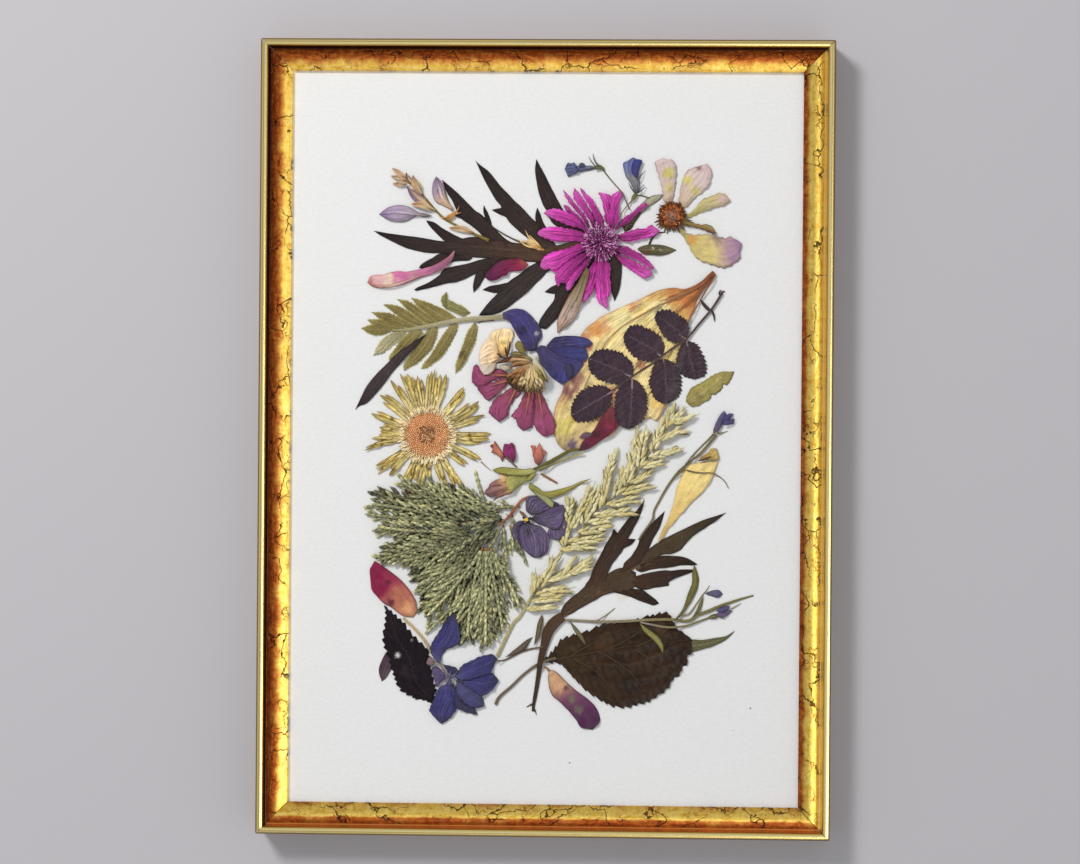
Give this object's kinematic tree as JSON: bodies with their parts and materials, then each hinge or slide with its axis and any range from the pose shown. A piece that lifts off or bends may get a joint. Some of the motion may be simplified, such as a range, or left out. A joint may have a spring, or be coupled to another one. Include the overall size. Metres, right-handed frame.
{
  "type": "pressed flower frame",
  "caption": "Gilded wooden picture frame, open fronted, holding a white card with pressed flowers, leaves, a grass panicle and a cypress sprig.",
  "frame": {"origin": "middle of the frame's back, on the plane that it lies on", "axes": "+X to the picture's right, +Y to the picture's top, +Z out of the picture face"},
  "size_m": [0.224, 0.311, 0.016],
  "materials": {
    "gilded_wood": "gold leaf over dark bole, polished lip and crackled hump",
    "card": "white mould-made card with a fine tooth",
    "board": "brown hardboard",
    "steel": "plain zinc-plated steel",
    "dark_leaf": "pressed leaf dried to near black",
    "brown_leaf": "pressed leaf dried to dark brown",
    "olive_leaf": "pressed leaf dried to olive",
    "straw": "dried grass and buds, straw coloured",
    "magenta_petal": "pressed magenta florets",
    "pink_petal": "pressed pink and lilac petals",
    "crimson_petal": "pressed crimson petals",
    "plum_petal": "pressed plum and cream petals",
    "indigo_petal": "pressed indigo petals",
    "viola_petal": "pressed violet petals",
    "cream_petal": "pressed cream and amber petals",
    "yellow_ray": "pressed yellow rays with a tan disc"
  },
  "bodies": {
    "root": {"rail_left": "gilded_wood", "rail_bottom": "gilded_wood", "rail_right": "gilded_wood", "rail_top": "gilded_wood", "framing_point_1": "steel", "framing_point_2": "steel", "framing_point_3": "steel", "framing_point_4": "steel", "framing_point_5": "steel", "framing_point_6": "steel", "framing_point_7": "steel", "framing_point_8": "steel", "mount_card": "card", "backing_board": "board", "hanger_plate": "steel", "hanger_rivet_left": "steel", "hanger_rivet_right": "steel", "divided_leaf_upper": "dark_leaf", "bud_spray": "straw", "lilac_bud_left": "pink_petal", "lilac_bud_upright": "pink_petal", "pink_petal": "pink_petal", "crimson_petal": "crimson_petal", "dried_bud": "straw", "cornflower": "magenta_petal", "willow_leaf": "olive_leaf", "olive_leaf": "olive_leaf", "lobelia_left": "indigo_petal", "lobelia_right": "indigo_petal", "cosmos": "pink_petal", "silverweed_leaf": "olive_leaf", "dark_lance_leaf": "dark_leaf", "zinnia": "plum_petal", "larkspur_petal_left": "indigo_petal", "larkspur_petals_right": "indigo_petal", "withered_sheath": "brown_leaf", "tulip_petal": "cream_petal", "rose_leaf": "dark_leaf", "nibbled_leaf": "olive_leaf", "daisy": "yellow_ray", "floret_crimson": "crimson_petal", "floret_orange": "crimson_petal", "campion": "olive_leaf", "grass_panicle": "straw", "cypress_sprig": "olive_leaf", "viola": "viola_petal", "lavender_sprig": "indigo_petal", "yellow_petal": "cream_petal", "divided_leaf_lower": "brown_leaf", "hydrangea_leaf": "brown_leaf", "green_leaf_tip": "olive_leaf", "flax_sprig": "olive_leaf", "brown_twig": "brown_leaf", "black_leaf": "dark_leaf", "purple_leaf": "dark_leaf", "two_coloured_petal": "crimson_petal", "larkspur_flower": "indigo_petal", "purple_petal": "crimson_petal"}
  },
  "joints": []
}
